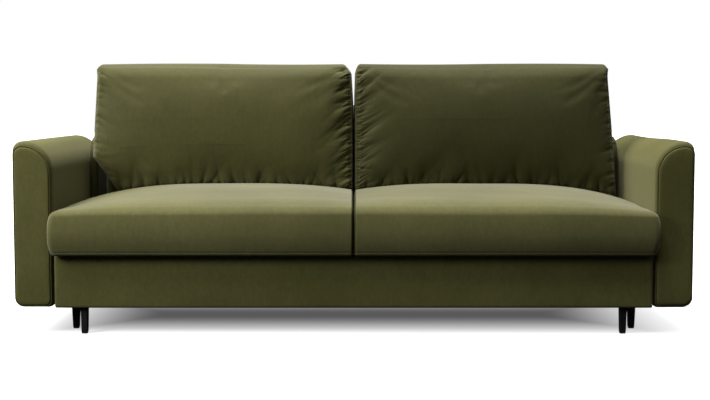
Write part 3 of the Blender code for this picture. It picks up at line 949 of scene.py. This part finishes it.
BACK_SHAPES = {
    "left": {
        "inner": (-0.001, -0.001, 0.006, 0.028), "outer": (0.925, 1.028, 1.010, 1.002),
        "slant": -0.55, "wave": 0.6,
    },
    "right": {
        "inner": (-0.001, -0.001, 0.002, 0.010), "outer": (1.034, 1.026, 1.000, 0.996),
        "slant": 0.60, "wave": 2.4,
    },
}
for side_name, side_sign in SIDES:
    build_arm(side_name, side_sign, arm_cloth, cord_cloth)
    # the rear corner roll is covered in the painted shade copy
    build_rear_corner(side_name, side_sign, painted_deep_shade_velvet)
    build_seat_cushion(side_name, side_sign, seat_cloth)
    # the right back cushion gets the painted shade copy, darker than the left
    pile = back_velvet_painted_shade if side_name == "left" else painted_deep_shade_velvet
    build_back_cushion(side_name, side_sign, pile, BACK_SHAPES[side_name])
soft_panel("front_panel_cover", "front_panel", panel_cloth, "seat_carriage",
           0.007, 0.0015, (160, 6, 24), 3)
soft_panel("rear_panel_cover", "rear_panel", panel_cloth, "frame",
           0.010, 0.0025, (160, 8, 30), 4)
# the backrest pad is covered in the painted shade copy
leaning_panel("backrest_pad_cover", "backrest_pad", painted_deep_shade_velvet,
              (0.030, 0.062, 0.062), 0.004, (180, 26, 60), 5)
leaning_panel("backrest_board_cover", "backrest_board", panel_cloth,
              (0.008, 0.008, 0.008), 0.001, (160, 8, 50), 6)


# ---------------------------------------------------------------- stage, light, camera
def stage_material():
    """A pale floor that glows, which is painted light, and glows less beneath the sofa, which is a painted shadow.
    """
    n = Nodes("pale_floor")
    cloud = n.noise(n.coordinates(), 0.8, 2.0, 0.5)
    n.link(n.ramp(cloud, (0.3, (0.56,) * 3), (0.7, (0.58,) * 3)), "Base Color")
    n.shader.inputs["Emission Color"].default_value = (1.0, 1.0, 1.0, 1.0)
    split = n.add("SeparateXYZ", Vector=n.coordinates())
    across = n.math("SUBTRACT", n.math("ABSOLUTE", split.outputs[0]), CAD_HIGH[0] - 0.02)
    along = n.math("SUBTRACT", n.math("ABSOLUTE", split.outputs[1]), CAD_HIGH[1] - 0.02)
    away = n.math("MAXIMUM", across, along)
    # painted shadow: the glow falls from the open floor to a low value under the sofa's footprint
    glow = n.add("MapRange", {"interpolation_type": "SMOOTHSTEP"}, Value=away)
    glow.inputs["From Min"].default_value = -0.45
    glow.inputs["From Max"].default_value = 0.10
    glow.inputs["To Min"].default_value = 0.10
    glow.inputs["To Max"].default_value = 0.95
    n.link(glow.outputs["Result"], "Emission Strength")
    n.link(n.ramp(cloud, (0.3, (0.85,) * 3), (0.7, (0.9,) * 3)), "Roughness")
    return n.material


floor_mesh = bpy.data.meshes.new("floor")
floor_mesh.from_pydata(
    [(-30, -30, 0), (30, -30, 0), (30, 30, 0), (-30, 30, 0)], [], [(0, 1, 2, 3)]
)
floor_mesh.materials.append(stage_material())
floor = bpy.data.objects.new("floor", floor_mesh)
bpy.context.scene.collection.objects.link(floor)

floor.visible_diffuse = False
floor.visible_glossy = False
bpy.context.scene.view_settings.view_transform = "Standard"


# For each axis: the direction's share where the fill starts and ends, and its strength there.
FILL = {"Z": (0.0, 0.95, 0.010, 0.55), "X": (-1.0, 1.0, 1.6, 0.4)}


def studio_world():
    """A white backdrop, and a soft fill that is brighter from above and from the left."""
    world = bpy.data.worlds.new("studio")
    world.use_nodes = True
    tree = world.node_tree
    background = tree.nodes["Background"]
    path = tree.nodes.new("ShaderNodeLightPath")
    place = tree.nodes.new("ShaderNodeTexCoord")
    split = tree.nodes.new("ShaderNodeSeparateXYZ")
    tree.links.new(place.outputs["Generated"], split.inputs[0])
    strength = []
    for axis, (start, end, first, last) in FILL.items():
        node = tree.nodes.new("ShaderNodeMapRange")
        node.inputs["From Min"].default_value = start
        node.inputs["From Max"].default_value = end
        node.inputs["To Min"].default_value = first
        node.inputs["To Max"].default_value = last
        tree.links.new(split.outputs[axis], node.inputs["Value"])
        strength.append(node.outputs["Result"])
    both = tree.nodes.new("ShaderNodeMath")
    both.operation = "MULTIPLY"
    tree.links.new(strength[0], both.inputs[0])
    tree.links.new(strength[1], both.inputs[1])
    mix = tree.nodes.new("ShaderNodeMix")
    tree.links.new(path.outputs["Is Camera Ray"], mix.inputs[0])
    tree.links.new(both.outputs[0], mix.inputs[2])
    mix.inputs[3].default_value = 1.0
    tree.links.new(mix.outputs[0], background.inputs["Strength"])
    background.inputs["Color"].default_value = (1.0, 1.0, 1.0, 1.0)
    bpy.context.scene.world = world


studio_world()


def area_light(name, place, target, size, power):
    """A square soft box at a place, turned to a target."""
    data = bpy.data.lights.new(name, "AREA")
    data.shape = "SQUARE"
    data.size = size
    data.energy = power
    lamp = bpy.data.objects.new(name, data)
    lamp.location = place
    lamp.rotation_euler = (Vector(target) - Vector(place)).to_track_quat("-Z", "Y").to_euler()
    bpy.context.scene.collection.objects.link(lamp)


def soft_sun(name, toward, strength, spread):
    """A wide, soft light from one direction, its spread in degrees."""
    data = bpy.data.lights.new(name, "SUN")
    data.energy = strength
    data.angle = math.radians(spread)
    lamp = bpy.data.objects.new(name, data)
    lamp.rotation_euler = Vector(toward).to_track_quat("-Z", "Y").to_euler()
    bpy.context.scene.collection.objects.link(lamp)


soft_sun("overhead", (0.26, 0.00, -1.0), 6.4, 46.0)
area_light("key_left", (-2.6, -1.9, 1.7), (-0.6, 0.0, 0.6), 1.0, 62.0)

CAMERA_DISTANCE = 4.6    # in front of the arms
CAMERA_HEIGHT = 0.82
CAMERA_TILT = 4.28       # degrees below level
camera_data = bpy.data.cameras.new("camera")
camera_data.sensor_width = 36.0
camera_data.lens = 66.980
camera_data.shift_x = 0.00183
camera = bpy.data.objects.new("camera", camera_data)
camera.location = (0.0, FRONT - CAMERA_DISTANCE, CAMERA_HEIGHT)
camera.rotation_euler = (math.radians(90.0 - CAMERA_TILT), 0.0, 0.0)
bpy.context.scene.collection.objects.link(camera)
bpy.context.scene.camera = camera
